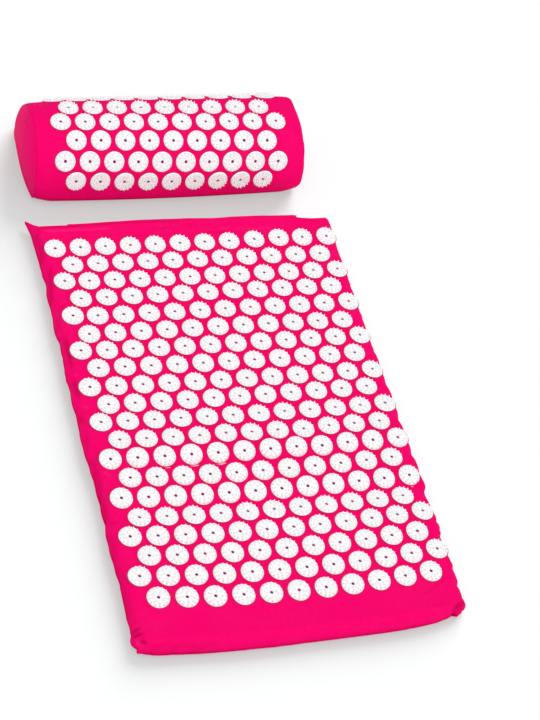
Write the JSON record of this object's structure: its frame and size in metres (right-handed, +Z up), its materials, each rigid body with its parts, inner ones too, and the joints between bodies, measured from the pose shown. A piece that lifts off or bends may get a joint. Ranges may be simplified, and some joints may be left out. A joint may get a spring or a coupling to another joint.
{
  "type": "acupressure mat",
  "caption": "Flat foam mat in a cotton cover with staggered rows of spiked discs, and a half-round neck pillow to match; both covers open with a coil zip.",
  "frame": {"origin": "middle of the mat's underside, on the surface that it lies on", "axes": "+X across the mat to the right, +Y along the mat towards the neck pillow, +Z up"},
  "size_m": [0.4026, 0.8382, 0.0904],
  "materials": {
    "cotton": "plain woven cotton, hot pink, matt",
    "cotton_sole": "plain woven cotton, hot pink, matt",
    "disc_plastic": "moulded white plastic, satin",
    "foam": "open-cell foam, cream",
    "zip_tape": "woven zip tape, pink",
    "zip_coil": "nylon coil, pink, satin",
    "zip_metal": "nickel-plated, satin"
  },
  "bodies": {
    "mat": {"mat_top_panel": "cotton", "mat_bottom_panel": "cotton_sole", "mat_foam_core": "foam", "mat_disc_row_01": "disc_plastic", "mat_disc_row_02": "disc_plastic", "mat_disc_row_03": "disc_plastic", "mat_disc_row_04": "disc_plastic", "mat_disc_row_05": "disc_plastic", "mat_disc_row_06": "disc_plastic", "mat_disc_row_07": "disc_plastic", "mat_disc_row_08": "disc_plastic", "mat_disc_row_09": "disc_plastic", "mat_disc_row_10": "disc_plastic", "mat_disc_row_11": "disc_plastic", "mat_disc_row_12": "disc_plastic", "mat_disc_row_13": "disc_plastic", "mat_disc_row_14": "disc_plastic", "mat_disc_row_15": "disc_plastic", "mat_disc_row_16": "disc_plastic", "mat_disc_row_17": "disc_plastic", "mat_disc_row_18": "disc_plastic", "mat_disc_row_19": "disc_plastic", "mat_disc_row_20": "disc_plastic", "mat_zip_tape_upper": "zip_tape", "mat_zip_tape_lower": "zip_tape", "mat_zip_coil_upper": "zip_coil", "mat_zip_coil_lower": "zip_coil", "mat_zip_stop_left": "zip_metal", "mat_zip_stop_right": "zip_metal"},
    "mat_slider": {"mat_zip_slider": "zip_metal"},
    "mat_pull": {"mat_zip_pull": "zip_metal"},
    "pillow": {"pillow_cover": "cotton", "pillow_base": "cotton_sole", "pillow_end_left": "cotton", "pillow_end_right": "cotton", "pillow_foam_core": "foam", "pillow_disc_row_1": "disc_plastic", "pillow_disc_row_2": "disc_plastic", "pillow_disc_row_3": "disc_plastic", "pillow_disc_row_4": "disc_plastic", "pillow_disc_row_5": "disc_plastic", "pillow_disc_row_6": "disc_plastic", "pillow_disc_row_7": "disc_plastic", "pillow_zip_tape_upper": "zip_tape", "pillow_zip_tape_lower": "zip_tape", "pillow_zip_coil_upper": "zip_coil", "pillow_zip_coil_lower": "zip_coil", "pillow_zip_stop_left": "zip_metal", "pillow_zip_stop_right": "zip_metal"},
    "pillow_slider": {"pillow_zip_slider": "zip_metal"},
    "pillow_pull": {"pillow_zip_pull": "zip_metal"}
  },
  "joints": [
    {"name": "mat_zip_slide", "type": "slide", "parent": "mat", "child": "mat_slider", "axis": [1, 0, 0], "range_m": [0, 0.2844]},
    {"name": "mat_pull_swing", "type": "hinge", "parent": "mat_slider", "child": "mat_pull", "pos_m": [-0.1422, 0.3221, 0.009], "axis": [0, 0, 1], "range_deg": [0, 180]},
    {"name": "pillow_shift", "type": "slide", "parent": "mat", "child": "pillow", "axis": [0, 1, 0], "range_m": [-0.028, 0.12]},
    {"name": "pillow_zip_slide", "type": "slide", "parent": "pillow", "child": "pillow_slider", "axis": [0.9995, -0.0332, 0], "range_m": [0, 0.2444]},
    {"name": "pillow_pull_swing", "type": "hinge", "parent": "pillow_slider", "child": "pillow_pull", "pos_m": [-0.12462, 0.51537, 0.009], "axis": [0, 0, 1], "range_deg": [0, 180]}
  ]
}
